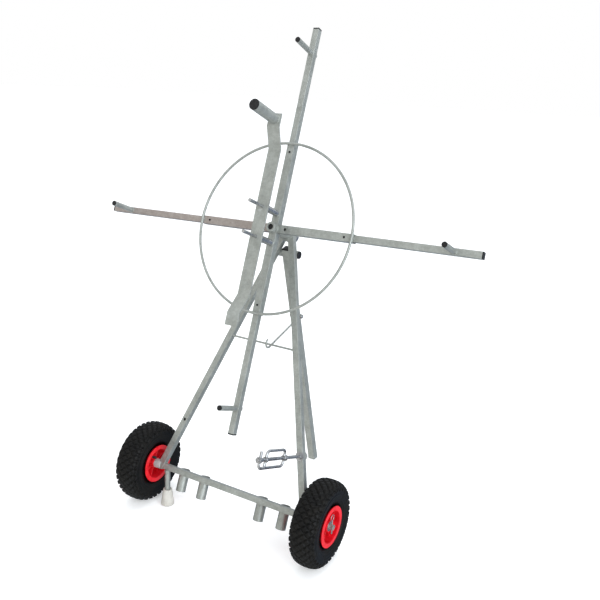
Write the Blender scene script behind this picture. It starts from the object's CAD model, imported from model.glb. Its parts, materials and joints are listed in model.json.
"""Looks of the hand hose reel cart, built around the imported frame.

Lengths are metres in the row frame: X along the axle, +Y to the back, Z up.
Every place comes from the frame's own nodes and joints.
"""

import json
import math
import random

import bpy
from mathutils import Matrix, Vector


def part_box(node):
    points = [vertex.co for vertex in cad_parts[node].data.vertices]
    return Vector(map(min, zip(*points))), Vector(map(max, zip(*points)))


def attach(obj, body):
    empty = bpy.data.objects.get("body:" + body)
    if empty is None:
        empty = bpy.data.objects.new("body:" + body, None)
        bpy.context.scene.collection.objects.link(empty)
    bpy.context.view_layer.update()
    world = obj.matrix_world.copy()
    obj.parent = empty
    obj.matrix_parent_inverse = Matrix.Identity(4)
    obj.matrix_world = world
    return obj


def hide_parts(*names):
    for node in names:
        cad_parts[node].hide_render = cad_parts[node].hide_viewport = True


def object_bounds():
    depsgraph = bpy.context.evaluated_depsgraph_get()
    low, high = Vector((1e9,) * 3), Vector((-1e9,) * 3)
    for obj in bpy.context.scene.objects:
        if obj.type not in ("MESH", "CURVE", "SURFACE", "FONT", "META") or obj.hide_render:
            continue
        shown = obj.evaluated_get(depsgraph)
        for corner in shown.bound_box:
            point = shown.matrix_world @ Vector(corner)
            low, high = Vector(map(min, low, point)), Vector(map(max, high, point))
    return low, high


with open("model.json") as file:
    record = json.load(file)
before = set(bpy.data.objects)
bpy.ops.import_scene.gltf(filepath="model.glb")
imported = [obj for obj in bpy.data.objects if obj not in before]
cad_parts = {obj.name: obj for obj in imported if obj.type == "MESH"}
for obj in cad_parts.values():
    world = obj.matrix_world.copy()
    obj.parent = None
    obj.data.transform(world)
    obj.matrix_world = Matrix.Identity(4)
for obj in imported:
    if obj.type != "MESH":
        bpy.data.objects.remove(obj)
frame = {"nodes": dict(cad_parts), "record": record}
cad_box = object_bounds()
NODES = frame["nodes"]
JOINTS = {j["name"]: j for j in frame["record"]["behaviour"]["joints"]}
MM = 0.001
TURN = 2 * math.pi


# ---- Frames of reference ----


def axes(origin, y_axis, z_axis):
    """The placing matrix with this origin whose y and z axes point along two square directions."""
    y, z = Vector(y_axis).normalized(), Vector(z_axis).normalized()
    place = Matrix((y.cross(z), y, z)).transposed().to_4x4()
    place.translation = Vector(origin)
    return place


def extent(node, place):
    """Lowest and highest corner of a CAD node, in the axes of a placing matrix."""
    back = place.inverted()
    points = [back @ v.co for v in NODES[node].data.vertices]
    return [Vector(f(p[i] for p in points) for i in range(3)) for f in (min, max)]


BACK = Vector(JOINTS["reel_turn"]["axis"])
UP_LEGS = Vector((1, 0, 0)).cross(BACK)
WHEEL = {s: Vector(JOINTS[s + "_wheel_turn"]["pos_m"]) for s in ("left", "right")}
TILT = axes((WHEEL["left"] + WHEEL["right"]) / 2, BACK, UP_LEGS)
ARM = {
    a: axes(JOINTS["reel_turn"]["pos_m"], BACK, JOINTS[a + "_arm_reach"]["axis"])
    for a in ("upper", "lower", "left", "right")
}
REEL = ARM["upper"]


# ---- Mesh making ----

ARC_STEPS = 32
BEAD_STEP = 0.9 * MM
BEAD_SIDES = 8
# A bead's radius swells by these shares, over these numbers of its steps
RIPPLE, RIPPLE_STEPS = 0.13, 3.4
WANDER, WANDER_STEPS = 0.16, 5
END_STEPS = 2.5


def piece(name, verts, faces, body, finish, smooth=True):
    """A new mesh piece, in place in the row frame, that rides on a CAD body."""
    mesh = bpy.data.meshes.new(name)
    mesh.from_pydata([tuple(v) for v in verts], [], faces)
    mesh.validate()
    mesh.polygons.foreach_set("use_smooth", [smooth] * len(mesh.polygons))
    mesh.materials.append(MATERIALS[finish])
    obj = bpy.data.objects.new(name, mesh)
    bpy.context.scene.collection.objects.link(obj)
    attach(obj, body)
    return obj


def bridged(rings, closed_row=True, closed_path=False):
    """Quads between rings of the same number of points, numbered ring after ring."""
    count = len(rings[0])
    faces = []
    for i in range(len(rings) if closed_path else len(rings) - 1):
        j = (i + 1) % len(rings)
        for k in range(count if closed_row else count - 1):
            m = (k + 1) % count
            faces.append((i * count + k, i * count + m, j * count + m, j * count + k))
    return faces


def lathe(place, profile, segments):
    """Rings and faces of a closed profile of (radius, height) points turned about a place's z axis."""
    rings = []
    for i in range(segments):
        a = TURN * i / segments
        rings.append([place @ Vector((r * math.cos(a), r * math.sin(a), h)) for r, h in profile])
    return [v for ring in rings for v in ring], bridged(rings, closed_path=True)


def resampled(path, step, closed):
    """The path cut into even steps of about this length."""
    ends = path + path[:1] if closed else path
    along = [0.0]
    for a, b in zip(ends, ends[1:]):
        along.append(along[-1] + (b - a).length)
    count = max(4, round(along[-1] / step))
    points, k = [], 0
    for i in range(count if closed else count + 1):
        s = along[-1] * i / count
        while along[k + 1] < s - 1e-9:
            k += 1
        share = (s - along[k]) / max(along[k + 1] - along[k], 1e-9)
        points.append(ends[k].lerp(ends[k + 1], share))
    return points


def bead_mesh(path, radius, closed, seed):
    """A weld bead along a path: a round string with the ripples of its puddles."""
    rng = random.Random(seed)
    points = resampled(path, BEAD_STEP, closed)
    count = len(points)
    rings = []
    phase = rng.uniform(0, TURN)
    wander = [rng.uniform(-1, 1) for _ in range(count // WANDER_STEPS + 3)]
    for i, p in enumerate(points):
        before = points[i - 1] if closed or i else p
        after = points[(i + 1) % count] if closed or i < count - 1 else p
        ahead = (after - before).normalized()
        side = ahead.orthogonal().normalized()
        if rings and abs(ahead.dot(last_side)) < 0.95:
            side = (last_side - ahead * ahead.dot(last_side)).normalized()
        last_side = side
        up = ahead.cross(side)
        j, share = divmod(i / WANDER_STEPS, 1)
        j = int(j)
        drift = wander[j] * (1 - share) + wander[j + 1] * share
        swell = 1 + RIPPLE * math.sin(i * TURN / RIPPLE_STEPS + phase) + WANDER * drift
        if not closed:
            swell *= math.sqrt(min(1, (min(i, count - 1 - i) + 0.35) / END_STEPS))
        turned = [TURN * k / BEAD_SIDES for k in range(BEAD_SIDES)]
        rings.append([p + (side * math.cos(a) + up * math.sin(a)) * radius * swell for a in turned])
    verts = [v for ring in rings for v in ring]
    faces = bridged(rings, closed_path=closed)
    if not closed:
        faces += [tuple(range(BEAD_SIDES))[::-1], tuple(range(len(verts) - BEAD_SIDES, len(verts)))]
    return verts, faces


def joined(parts):
    """Several (verts, faces) as one."""
    verts, faces = [], []
    for v, f in parts:
        faces += [tuple(i + len(verts) for i in face) for face in f]
        verts += v
    return verts, faces


def circle(place, centre, radius, normal, start=0, sweep=TURN):
    """Points of an arc round a normal, which is one of a place's axes: 0, 1 or 2."""
    u, w = [(1, 2), (2, 0), (0, 1)][normal]
    points = []
    for i in range(ARC_STEPS + 1):
        p = Vector(centre)
        a = start + sweep * i / ARC_STEPS
        p[u] += radius * math.cos(a)
        p[w] += radius * math.sin(a)
        points.append(place @ p)
    return points[:-1] if sweep == TURN else points


def line(place, a, b):
    """The two ends of a straight path, given in a place's axes."""
    return [place @ Vector(a), place @ Vector(b)]


# ---- Materials ----


class Nodes:
    """A node tree, with short calls for the nodes that the finishes and the surround share."""

    def __init__(self, owner, coordinates):
        owner.use_nodes = True
        self.tree = owner.node_tree
        self.place = self.new("TexCoord").outputs[coordinates]

    def new(self, kind, **settings):
        node = self.tree.nodes.new("ShaderNode" + kind)
        for key, value in settings.items():
            setattr(node, key, value)
        return node

    def link(self, a, b):
        self.tree.links.new(a, b)

    def axis(self, name):
        """One of the coordinates: X, Y or Z."""
        node = self.new("SeparateXYZ")
        self.link(self.place, node.inputs["Vector"])
        return node.outputs[name]

    def stretched(self, scale):
        """The object's coordinates stretched along its axes."""
        node = self.new("Mapping")
        node.inputs["Scale"].default_value = scale
        self.link(self.place, node.inputs["Vector"])
        return node.outputs["Vector"]

    def noise(self, scale, detail=3.0, rough=0.55, where=None):
        node = self.new("TexNoise")
        node.inputs["Scale"].default_value = scale
        node.inputs["Detail"].default_value = detail
        node.inputs["Roughness"].default_value = rough
        self.link(where or self.place, node.inputs["Vector"])
        return node.outputs["Fac"]

    def cells(self, scale, output="Color", feature="F1", where=None):
        node = self.new("TexVoronoi", feature=feature)
        node.inputs["Scale"].default_value = scale
        self.link(where or self.place, node.inputs["Vector"])
        return node.outputs[output]

    def grey(self, colour):
        """One random number for each cell."""
        node = self.new("SeparateColor")
        self.link(colour, node.inputs["Color"])
        return node.outputs["Red"]

    def ramp(self, value, low, high, to_low=0.0, to_high=1.0):
        """The value's stretch from low to high, mapped to another."""
        node = self.new("MapRange", interpolation_type="SMOOTHSTEP")
        ends = {"From Min": low, "From Max": high, "To Min": to_low, "To Max": to_high}
        for socket, number in ends.items():
            node.inputs[socket].default_value = number
        self.link(value, node.inputs["Value"])
        return node.outputs["Result"]

    def math(self, operation, a, b):
        node = self.new("Math", operation=operation)
        for socket, value in zip(node.inputs, (a, b)):
            if isinstance(value, (int, float)):
                socket.default_value = value
            else:
                self.link(value, socket)
        return node.outputs["Value"]

    def mix(self, share, a, b):
        """A colour between a and b, either of which is three numbers or a socket."""
        node = self.new("Mix", data_type="RGBA")
        sockets = [s for s in node.inputs if s.type == "RGBA"]
        for socket, value in zip(sockets, (a, b)):
            if isinstance(value, tuple):
                socket.default_value = (*value, 1)
            else:
                self.link(value, socket)
        factor = node.inputs["Factor"]
        if isinstance(share, (int, float)):
            factor.default_value = share
        else:
            self.link(share, factor)
        return [s for s in node.outputs if s.type == "RGBA"][0]


class Finish(Nodes):
    """A material, whose keywords are uniform values of its shader."""

    def __init__(self, name, **sockets):
        self.material = bpy.data.materials.new(name)
        super().__init__(self.material, "Object")
        self.shader = self.tree.nodes["Principled BSDF"]
        for socket, value in sockets.items():
            self.shader.inputs[socket.replace("_", " ")].default_value = value

    def finish(self, colour, roughness, height, depth):
        """Links the colour, the roughness and a bump of this depth in metres."""
        self.link(colour, self.shader.inputs["Base Color"])
        self.link(roughness, self.shader.inputs["Roughness"])
        bump = self.new("Bump")
        bump.inputs["Distance"].default_value = depth
        bump.inputs["Strength"].default_value = 1.0
        self.link(height, bump.inputs["Height"])
        self.link(bump.outputs["Normal"], self.shader.inputs["Normal"])
        return self.material


def galvanised(name, dark, light, bloom, metallic=0.62):
    """Hot-dip zinc: spangles, cloudy patches, runs of thicker zinc and a pale bloom."""
    n = Finish(name, Metallic=metallic)
    spangle = n.grey(n.cells(105))
    fine = n.grey(n.cells(260))
    cloud = n.ramp(n.noise(13, 4, 0.6), 0.32, 0.68)
    runs = n.ramp(n.noise(1, 3, 0.5, n.stretched((70, 70, 9))), 0.45, 0.75)
    share = n.math("ADD", n.math("MULTIPLY", cloud, 0.30), n.math("MULTIPLY", spangle, 0.30))
    share = n.math("ADD", share, n.math("MULTIPLY", fine, 0.26))
    share = n.math("ADD", share, n.math("MULTIPLY", runs, 0.18))
    colour = n.mix(share, dark, light)
    spots = n.ramp(n.noise(46, 5, 0.7), 0.60, 0.74)
    colour = n.mix(n.math("MULTIPLY", spots, 0.55), colour, bloom)
    roughness = n.math("ADD", n.ramp(spangle, 0, 1, 0.32, 0.50), n.math("MULTIPLY", spots, 0.16))
    edges = n.ramp(n.cells(105, "Distance", "DISTANCE_TO_EDGE"), 0.0, 0.12)
    height = n.math("ADD", n.math("MULTIPLY", edges, 0.25), n.math("MULTIPLY", n.noise(60, 4, 0.6), 0.9))
    height = n.math("ADD", height, n.math("MULTIPLY", runs, 0.5))
    return n.finish(colour, roughness, height, 0.35 * MM)


def zinc_plate(name):
    """Bright zinc on fasteners and wire: fine drawing lines, dull patches and small stains."""
    n = Finish(name, Metallic=0.92)
    patch = n.ramp(n.noise(38, 4, 0.6), 0.35, 0.7)
    lines = n.noise(1, 2, 0.5, n.stretched((900, 900, 60)))
    colour = n.mix(patch, (0.56, 0.565, 0.57), (0.36, 0.365, 0.375))
    stain = n.ramp(n.noise(95, 5, 0.7), 0.62, 0.76)
    colour = n.mix(n.math("MULTIPLY", stain, 0.6), colour, (0.20, 0.20, 0.19))
    roughness = n.math("ADD", n.ramp(patch, 0, 1, 0.19, 0.32), n.math("MULTIPLY", stain, 0.2))
    height = n.math("ADD", n.math("MULTIPLY", lines, 0.5), n.noise(160, 3))
    return n.finish(colour, roughness, height, 0.12 * MM)


def black_plastic(name):
    """Moulded polythene plugs: fine grain, dull rubbed patches and pale dust."""
    n = Finish(name, Specular_IOR_Level=0.35)
    grain = n.noise(1400, 2)
    rub = n.ramp(n.noise(110, 4, 0.6), 0.45, 0.72)
    colour = n.mix(rub, (0.006, 0.006, 0.007), (0.022, 0.022, 0.023))
    roughness = n.ramp(rub, 0, 1, 0.38, 0.62)
    return n.finish(colour, roughness, n.math("ADD", grain, n.math("MULTIPLY", rub, 0.6)), 0.1 * MM)


def red_plastic(name):
    """Injection-moulded rim: satin skin, faint flow marks and dust in the corners."""
    n = Finish(name, Specular_IOR_Level=0.4)
    flow = n.ramp(n.noise(1, 3, 0.5, n.stretched((18, 40, 40))), 0.3, 0.7)
    colour = n.mix(flow, (0.60, 0.004, 0.010), (0.76, 0.010, 0.020))
    dust = n.ramp(n.noise(130, 5, 0.7), 0.58, 0.78)
    colour = n.mix(n.math("MULTIPLY", dust, 0.16), colour, (0.60, 0.22, 0.20))
    roughness = n.math("ADD", n.ramp(flow, 0, 1, 0.30, 0.38), n.math("MULTIPLY", dust, 0.2))
    height = n.math("ADD", n.noise(900, 2), n.math("MULTIPLY", flow, 0.8))
    return n.finish(colour, roughness, height, 0.08 * MM)


def blackened(name):
    """Oiled black oxide on the set screws: worn grey at the rims of their sockets."""
    n = Finish(name, Metallic=0.7)
    worn = n.ramp(n.noise(210, 4, 0.65), 0.55, 0.78)
    colour = n.mix(worn, (0.012, 0.012, 0.014), (0.07, 0.07, 0.075))
    roughness = n.ramp(worn, 0, 1, 0.34, 0.55)
    return n.finish(colour, roughness, n.math("ADD", n.noise(900, 3), worn), 0.06 * MM)


def cream_rubber(name):
    """Crutch-tip rubber: chalky, with scuffs and grime towards the ground."""
    n = Finish(name, Specular_IOR_Level=0.3)
    mottle = n.ramp(n.noise(60, 5, 0.6), 0.3, 0.7)
    colour = n.mix(mottle, (0.50, 0.485, 0.445), (0.57, 0.55, 0.505))
    low = n.ramp(n.axis("Z"), 0.0, 0.022, 1.0, 0.0)
    grime = n.math("MULTIPLY", low, n.ramp(n.noise(140, 5, 0.7), 0.35, 0.65))
    colour = n.mix(n.math("MULTIPLY", grime, 0.35), colour, (0.20, 0.18, 0.15))
    roughness = n.ramp(mottle, 0, 1, 0.62, 0.78)
    return n.finish(colour, roughness, n.math("ADD", n.noise(700, 3), mottle), 0.15 * MM)


def tyre_rubber(name):
    """Black tyre rubber: dull, with patches and specks of dry brownish dust."""
    n = Finish(name, Specular_IOR_Level=0.16)
    dust = n.ramp(n.noise(34, 5, 0.65), 0.40, 0.75)
    colour = n.mix(dust, (0.004, 0.004, 0.004), (0.010, 0.0092, 0.008))
    speck = n.ramp(n.noise(420, 4, 0.7), 0.62, 0.74)
    colour = n.mix(n.math("MULTIPLY", speck, 0.35), colour, (0.03, 0.027, 0.024))
    roughness = n.ramp(dust, 0, 1, 0.42, 0.66)
    height = n.math("ADD", n.noise(800, 3), n.math("MULTIPLY", n.noise(150, 3), 0.8))
    return n.finish(colour, roughness, height, 0.18 * MM)


MATERIALS = {
    "galvanised_steel": galvanised(
        "galvanised_steel", (0.27, 0.285, 0.265), (0.47, 0.49, 0.465), (0.56, 0.58, 0.57)),
    "galvanised_warm": galvanised(
        "galvanised_warm", (0.28, 0.235, 0.215), (0.46, 0.42, 0.395), (0.54, 0.50, 0.48)),
    "galvanised_pale": galvanised(
        "galvanised_pale", (0.42, 0.43, 0.43), (0.62, 0.63, 0.63), (0.7, 0.71, 0.71), metallic=0.25),
    "zinc_plated_steel": zinc_plate("zinc_plated_steel"),
    "black_plastic": black_plastic("black_plastic"),
    "blackened_steel": blackened("blackened_steel"),
    "red_plastic": red_plastic("red_plastic"),
    "cream_rubber": cream_rubber("cream_rubber"),
    "tyre_rubber": tyre_rubber("tyre_rubber"),
}


# ---- Finishes and rounded edges of the CAD nodes ----

# Width of the rounded edges in millimetres, for each material and for all others
EDGE = {"galvanised_steel": 0.95, "black_plastic": 0.8, "red_plastic": 0.9, "cream_rubber": 2.0}
FINE_EDGE = 0.35
WELD_GAP = 0.01 * MM
FLAT_ANGLE = math.radians(0.6)
EDGE_ANGLE = math.radians(40)
# The crank's flat bar has fine edges, and bent round rod has no edges to round
SHARP_NODES = ("crank_bar",)
ROUND_NODES = ("cross_rod", "hose_ring", "stay_rod", "guide_loop", "linchpins")
# Nodes that look different from the rest of their material
OWN_FINISH = {
    "arm_left": "galvanised_warm",
    "fixed_arm_left": "galvanised_warm",
    "clamp_screws": "blackened_steel",
    "axle_collars": "galvanised_pale",
}


def dress(node, finish):
    """Gives a CAD node its finish and small rounded edges."""
    obj = NODES[node]
    obj.data.materials.clear()
    obj.data.materials.append(MATERIALS[OWN_FINISH.get(node, finish)])
    obj.data.polygons.foreach_set("use_smooth", [True] * len(obj.data.polygons))
    weld = obj.modifiers.new("weld", "WELD")
    weld.merge_threshold = WELD_GAP
    if node not in ROUND_NODES:
        flat = obj.modifiers.new("flat", "DECIMATE")
        flat.decimate_type = "DISSOLVE"
        flat.angle_limit = FLAT_ANGLE
        bevel = obj.modifiers.new("edges", "BEVEL")
        bevel.width = (FINE_EDGE if node in SHARP_NODES else EDGE.get(finish, FINE_EDGE)) * MM
        bevel.segments = 2
        bevel.limit_method = "ANGLE"
        bevel.angle_limit = EDGE_ANGLE
        bevel.use_clamp_overlap = False
        bevel.miter_outer = "MITER_ARC"
    normals = obj.modifiers.new("normals", "WEIGHTED_NORMAL")
    normals.weight = 60
    normals.keep_sharp = True


for subpart in frame["record"]["subparts"]:
    dress(subpart["node"], subpart["material_slot"])


# ---- Tyres ----

BLOCKS = 34
BLOCK_STEPS = 16
GROOVE_DEPTH = 4.5 * MM
GROOVE_W = 2.4 * MM
GROOVE_EDGE = 2.2 * MM
ROW_PITCH = 26 * MM
# Distances along the section from its middle: the tread ends at SHOULDER_HALF
SHOULDER_HALF = 54 * MM
SHOULDER_DROP = 1.8 * MM
RIDGE_TOP = 0.6 * MM
RIDGE_FOOT = 2.2 * MM
# The section is a rounded oblong with this power, from one bead over the tread to the other
SECTION_POWER = 0.75
SECTION_START = math.radians(-33)
SECTION_SWEEP = math.radians(246)
SECTION_STEPS = 108
DENSE_STEPS = 2000
SEAT_DEPTH = 1.5 * MM
TREAD_WALL = 14 * MM
INSIDE_SHARE = 0.80


def smooth(low, high, x):
    """0 below low, 1 above high and an S curve between them."""
    t = min(1, max(0, (x - low) / (high - low)))
    return t * t * (3 - 2 * t)


def nearest_line(x):
    """Distance from x to the nearest whole number."""
    return abs((x + 0.5) % 1 - 0.5)


def groove(distance):
    """1 in the middle of a groove, 0 on the block beside it."""
    return 1 - smooth(GROOVE_W / 2, GROOVE_W / 2 + GROOVE_EDGE, distance)


def tread(turns, across, pitch):
    """How deep the tread is cut, from 0 to 1. turns counts blocks round the tyre."""
    off = abs(across)
    row = across / ROW_PITCH
    lattice_pitch = 1 / math.hypot(1 / pitch, 1 / ROW_PITCH)
    crossed = max(groove(nearest_line(turns + s * row) * lattice_pitch) for s in (-1, 1))
    return crossed * (1 - smooth(SHOULDER_HALF - 4 * MM, SHOULDER_HALF, off))


def tyre(side):
    """A pneumatic tyre with diamond blocks, plain shoulders, sidewall rings and a closed inside."""
    name = "tyre_" + side
    low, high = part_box(name)
    centre, outer_r, half_w = WHEEL[side], (high.z - low.z) / 2, (high.x - low.x) / 2
    rim_r = (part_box("rim_outer_" + side)[1].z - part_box("rim_outer_" + side)[0].z) / 2
    middle = (outer_r + rim_r) / 2
    half_h = outer_r - middle

    def powered(x):
        return math.copysign(abs(x) ** SECTION_POWER, x)

    def curve(a):
        return Vector((half_w * powered(math.cos(a)), middle + half_h * powered(math.sin(a))))

    dense = [curve(SECTION_START + SECTION_SWEEP * i / DENSE_STEPS) for i in range(DENSE_STEPS + 1)]
    along = [0.0]
    for p, q in zip(dense, dense[1:]):
        along.append(along[-1] + (q - p).length)
    total = along[-1]
    outline, k = [], 0
    for i in range(SECTION_STEPS + 1):
        s = total * i / SECTION_STEPS
        while k < len(dense) - 2 and along[k + 1] < s:
            k += 1
        ahead = (dense[k + 1] - dense[k]).normalized()
        outline.append((dense[k], Vector((ahead.y, -ahead.x)), s - total / 2))
    inner = ((0.95, rim_r - SEAT_DEPTH), (0.9, middle), (0.45, outer_r - TREAD_WALL))
    inside = [Vector((-x * half_w * INSIDE_SHARE, r)) for x, r in inner]
    inside += [Vector((-p.x, p.y)) for p in inside[::-1]]
    ridges = ((SHOULDER_HALF + 9 * MM, 0.7 * MM), (total / 2 - 5 * MM, 1.4 * MM))
    rings = []
    count = BLOCKS * BLOCK_STEPS
    pitch = TURN * outer_r / BLOCKS
    for j in range(count):
        turns = j / BLOCK_STEPS
        a = TURN * j / count
        ring = []
        for p, normal, across in outline:
            off = abs(across)
            lift = -GROOVE_DEPTH * tread(turns, across, pitch)
            for ridge_at, ridge_h in ridges:
                lift += ridge_h * (1 - smooth(RIDGE_TOP, RIDGE_FOOT, abs(off - ridge_at)))
            lift -= SHOULDER_DROP * smooth(SHOULDER_HALF - 3 * MM, SHOULDER_HALF + 2 * MM, off)
            q = p + normal * lift
            ring.append((q.x, q.y))
        ring += [(p.x, p.y) for p in inside]
        rings.append([centre + Vector((x, r * math.cos(a), r * math.sin(a))) for x, r in ring])
    verts = [v for ring in rings for v in ring]
    obj = piece("tyre_tread_" + side, verts, bridged(rings, closed_path=True), side + "_wheel", "tyre_rubber")
    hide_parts(name)


for side in ("left", "right"):
    tyre(side)


# ---- Valve stems ----

# Outline of a stem as (radius, height) in millimetres, from its rubber foot up to the cap
VALVE = (
    (0, -1), (6.5, -1), (6.2, 1.5), (4.2, 4), (3.6, 9), (3.4, 16), (2.9, 17),
    (2.9, 18.5), (4.1, 18.8), (4.3, 20), (4.3, 27), (3.4, 28.6), (0, 29),
)
VALVE_SIDES = 24
AXIS_GAP = 0.05
# Ends of a stem: millimetres in from the wheel's middle, millimetres from the axle, degrees from the top
VALVE_FOOT = (22, 44.5, 38)
VALVE_TIP = (35, 23.5, 17)


def valve(side):
    """The inner tube's valve: it leaves the rim's wall on the cart's side and points to the hub."""
    inward = 1 if side == "left" else -1

    def at(reach, radius, degrees):
        a = math.radians(degrees)
        return WHEEL[side] + Vector((inward * reach, -radius * math.sin(a), radius * math.cos(a))) * MM

    foot, tip = at(*VALVE_FOOT), at(*VALVE_TIP)
    ahead = (tip - foot).normalized()
    place = axes(foot, ahead.orthogonal(), ahead)
    outline = [(max(r, AXIS_GAP) * MM, h * MM) for r, h in VALVE]
    verts, faces = lathe(place, outline, VALVE_SIDES)
    piece("valve_" + side, verts, faces, side + "_wheel", "black_plastic")


for side in ("left", "right"):
    valve(side)


# ---- Weld beads ----

# Radius of the bead at each place, and how far its middle lies outside the tube that it runs round
SHAFT_BEAD, STUD_BEAD, RING_BEAD, PEG_BEAD, HANDLE_BEAD = (r * MM for r in (2.0, 1.5, 1.4, 1.3, 1.8))
SOCKET_BEAD, ROD_BEAD, BEARING_BEAD, LEG_BEAD, FOOT_BEAD = (r * MM for r in (2.4, 1.3, 1.9, 1.7, 1.5))
KNUCKLE_BEAD = 2.0 * MM
THIN_OFF, MIDDLE_OFF, STUD_OFF, SHAFT_OFF = (r * MM for r in (0.3, 0.4, 0.5, 0.6))

def weld_reel():
    """Beads that hold the fixed arms, the studs and the ring to the reel's shaft."""
    low, high = extent("fixed_arm_upper", REEL)
    front, back, half = low.y, high.y, (high.x - low.x) / 2
    shaft = extent("reel_shaft", REEL)[1].x
    parts = []
    for y in (front, back):
        path = circle(REEL, (0, y, 0), shaft + SHAFT_OFF, 1)
        parts.append(bead_mesh(path, SHAFT_BEAD, closed=True, seed=11))
    stud_low, stud_high = extent("crank_studs", REEL)
    shoulder = stud_high.x
    stud_r = (stud_high.z - stud_low.z) / 2 - shoulder
    for z in (-stud_r, stud_r):
        path = circle(REEL, (0, front, z), shoulder + STUD_OFF, 1)
        parts.append(bead_mesh(path, STUD_BEAD, closed=True, seed=12))
    ring_low, ring_high = extent("hose_ring", REEL)
    rod = (ring_high.y - ring_low.y) / 2
    ring_r = ring_high.z - rod
    for i, place in enumerate(ARM.values()):
        for z in (ring_r - rod, ring_r + rod * 0.2):
            path = line(place, (-half * 0.72, front, z), (half * 0.72, front, z))
            parts.append(bead_mesh(path, RING_BEAD, closed=False, seed=20 + i))
    piece("reel_welds", *joined(parts), "reel", "galvanised_steel")


def weld_arms():
    """Beads round each peg, in front of and behind its sliding arm."""
    for i, (name, place) in enumerate(ARM.items()):
        arm_low, arm_high = extent("arm_" + name, place)
        low, high = extent("peg_" + name, place)
        radius, z = (high.x - low.x) / 2, (high.z + low.z) / 2
        paths = [circle(place, (0, y, z), radius + THIN_OFF, 1) for y in (arm_low.y, arm_high.y)]
        parts = [bead_mesh(path, PEG_BEAD, closed=True, seed=30 + i) for path in paths]
        piece(name + "_arm_welds", *joined(parts), name + "_slide", "galvanised_steel")


def weld_crank():
    """A bead round the root of the crank's handle."""
    low, high = extent("crank_handle", REEL)
    radius, z = (high.x - low.x) / 2, (high.z + low.z) / 2
    path = circle(REEL, (0, high.y, z), radius + THIN_OFF, 1)
    bead = bead_mesh(path, HANDLE_BEAD, closed=True, seed=40)
    piece("crank_weld", *bead, "crank", "galvanised_steel")


def weld_frame():
    """Beads at the axle, the sockets, the cross rod, the bearing, the knuckles and the foot."""
    parts = []
    for i, name in enumerate(("outer_left", "inner_left", "inner_right", "outer_right")):
        low, high = extent("socket_" + name, TILT)
        x, r = (low.x + high.x) / 2, (high.x - low.x) / 2
        for s in (-1, 1):
            ends = [(x + s * r * 0.5, low.y + SOCKET_BEAD, z) for z in (-r * 0.5, r * 0.5)]
            parts.append(bead_mesh(line(TILT, *ends), SOCKET_BEAD, closed=False, seed=50 + i))
    rod_low, rod_high = extent("cross_rod", TILT)
    rod_r, rod_z = (rod_high.z - rod_low.z) / 2, (rod_high.z + rod_low.z) / 2
    for x in (rod_low.x + 1.2 * MM, rod_high.x - 1.2 * MM):
        path = circle(TILT, (x, 0, rod_z), rod_r + THIN_OFF, 0)
        parts.append(bead_mesh(path, ROD_BEAD, closed=True, seed=60))
    hub = extent("bearing_tube", TILT)
    hub_r, hub_z = (hub[1].x - hub[0].x) / 2, (hub[1].z + hub[0].z) / 2
    leg_low, leg_high = extent("right_leg", TILT)
    for y in (leg_low.y, leg_high.y):
        path = circle(TILT, (0, y, hub_z), hub_r + MIDDLE_OFF, 1, math.radians(90), math.radians(180))
        parts.append(bead_mesh(path, BEARING_BEAD, closed=False, seed=61))
    leg = [TILT.inverted() @ v.co for v in NODES["right_leg"].data.vertices]
    toe = min(p.x for p in leg if p.z < leg_low.z + 1 * MM)
    slope = (toe - leg_low.x) / (leg_high.z - leg_low.z)
    half = extent("axle", TILT)[1].y
    for s in (-1, 1):
        path = [
            TILT @ Vector((s * (toe - slope * (z - leg_low.z)), y, z))
            for y, z in ((-half, -half), (half, -half), (half, half), (-half, half))
        ]
        parts.append(bead_mesh(path, LEG_BEAD, closed=True, seed=63))
    foot_low, foot_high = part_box("foot_tube")
    foot = (foot_low + foot_high) / 2
    foot_top = (foot.x, foot.y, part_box("axle")[0].z + 1 * MM)
    path = circle(Matrix(), foot_top, foot.x - foot_low.x + MIDDLE_OFF, 2)
    parts.append(bead_mesh(path, FOOT_BEAD, closed=True, seed=64))
    pin_low, pin_high = extent("pivot_knuckles", TILT)
    r, z = (pin_high.z - pin_low.z) / 2, (pin_high.z + pin_low.z) / 2
    for s in (-1, 1):
        for dz in (-0.45, 0.45):
            ends = [(x, leg_high.y + 1.6 * MM, z + dz * r) for x in (s * (pin_high.x - 3 * MM), s * 18 * MM)]
            parts.append(bead_mesh(line(TILT, *ends), KNUCKLE_BEAD, closed=False, seed=62))
    piece("frame_welds", *joined(parts), "frame", "galvanised_steel")


weld_reel()
weld_arms()
weld_crank()
weld_frame()


# ---- Studio ----

FLOOR_HALF = 60.0
# Place, size, power and colour
LAMPS = {
    "key": ((4.2, -1.6, 3.4), 2.2, 60, (0.93, 0.97, 1.0)),
    "top": ((-0.5, 0.6, 5.0), 3.5, 60, (1.0, 1.0, 1.0)),
}
YAW, PITCH, ROLL = (math.radians(a) for a in (29.50, 16.10, 2.83))
# The camera's place: along the axle, from the axle to the back, and from the ground
EYE = Vector((1.1831, TILT.translation.y - 1.7014, 1.3515))
LENS = 44.6
SENSOR = 36


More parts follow.
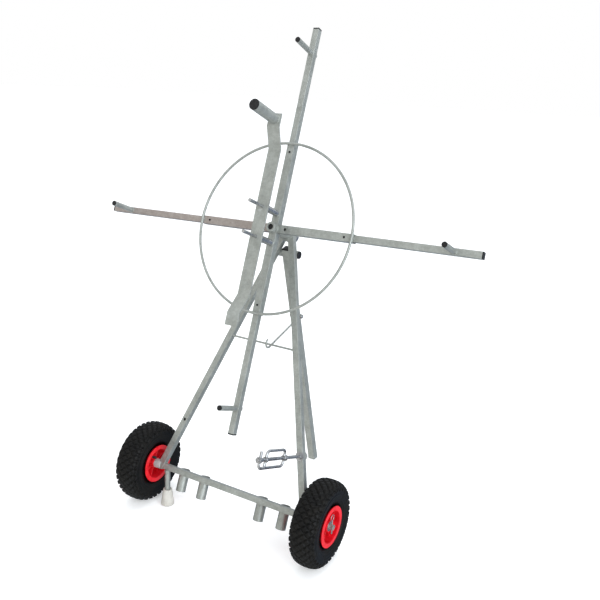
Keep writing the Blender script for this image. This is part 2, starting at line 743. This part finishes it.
def surround():
    """The world: white to the camera, and to all else a room, bluish behind, with a softbox."""
    world = bpy.data.worlds.new("surround")
    n = Nodes(world, "Generated")
    behind = n.mix(n.ramp(n.axis("Z"), -0.15, 0.25), (0.21, 0.26, 0.34), (0.66, 0.69, 0.73))
    colour = n.mix(n.ramp(n.axis("Y"), -0.3, 0.45), (0.78, 0.78, 0.75), behind)
    toward = n.new("VectorMath", operation="DOT_PRODUCT")
    toward.inputs[1].default_value = Vector((0.86, -0.42, 0.28)).normalized()
    n.link(n.place, toward.inputs[0])
    colour = n.mix(n.ramp(toward.outputs["Value"], 0.80, 0.95), colour, (3.2, 3.4, 3.6))
    colour = n.mix(n.ramp(n.axis("Z"), 0.45, 0.95), colour, (0.95, 0.98, 1.02))
    seen = n.new("LightPath").outputs["Is Camera Ray"]
    colour = n.mix(seen, colour, (1.0, 1.0, 1.0))
    n.link(colour, n.tree.nodes["Background"].inputs["Color"])
    return world


def floor():
    """A wide pale floor that no metal reflects."""
    material = bpy.data.materials.new("floor")
    material.use_nodes = True
    shader = material.node_tree.nodes["Principled BSDF"]
    shader.inputs["Base Color"].default_value = (0.90, 0.90, 0.90, 1)
    shader.inputs["Roughness"].default_value = 0.9
    shader.inputs["Specular IOR Level"].default_value = 0.0
    shader.inputs["Emission Color"].default_value = (1, 1, 1, 1)
    shader.inputs["Emission Strength"].default_value = 0.32
    mesh = bpy.data.meshes.new("floor")
    corners = [(x * FLOOR_HALF, y * FLOOR_HALF, 0) for x, y in ((-1, -1), (1, -1), (1, 1), (-1, 1))]
    mesh.from_pydata(corners, [], [(0, 1, 2, 3)])
    mesh.materials.append(material)
    obj = bpy.data.objects.new("floor", mesh)
    bpy.context.scene.collection.objects.link(obj)
    obj.visible_glossy = False


def lamp(name, place, size, power, colour):
    """A square lamp that points at the middle of the cart and that no metal reflects."""
    data = bpy.data.lights.new(name, "AREA")
    data.size, data.energy, data.color = size, power, colour
    obj = bpy.data.objects.new(name, data)
    bpy.context.scene.collection.objects.link(obj)
    obj.visible_glossy = False
    obj.location = place
    aim = (cad_box[0] + cad_box[1]) / 2
    obj.rotation_euler = (aim - Vector(place)).to_track_quat("-Z", "Y").to_euler()


def studio():
    """A pale floor, a white surround and two large soft lamps."""
    scene = bpy.context.scene
    scene.view_settings.view_transform = "Standard"
    scene.world = surround()
    floor()
    for name, settings in LAMPS.items():
        lamp(name, *settings)


def camera():
    """The camera stands in front of the cart's right wheel, at eye height, and looks slightly down."""
    ahead = Vector((-math.sin(YAW) * math.cos(PITCH), math.cos(YAW) * math.cos(PITCH), -math.sin(PITCH)))
    level = Vector((math.cos(YAW), math.sin(YAW), 0))
    above = level.cross(ahead)
    right = level * math.cos(ROLL) + above * math.sin(ROLL)
    up = above * math.cos(ROLL) - level * math.sin(ROLL)
    data = bpy.data.cameras.new("camera")
    data.sensor_width = SENSOR
    data.lens = LENS
    data.clip_end = 100
    obj = bpy.data.objects.new("camera", data)
    bpy.context.scene.collection.objects.link(obj)
    turn = Matrix((right, up, -ahead)).transposed().to_4x4()
    turn.translation = EYE
    obj.matrix_world = turn
    bpy.context.scene.camera = obj


studio()
camera()
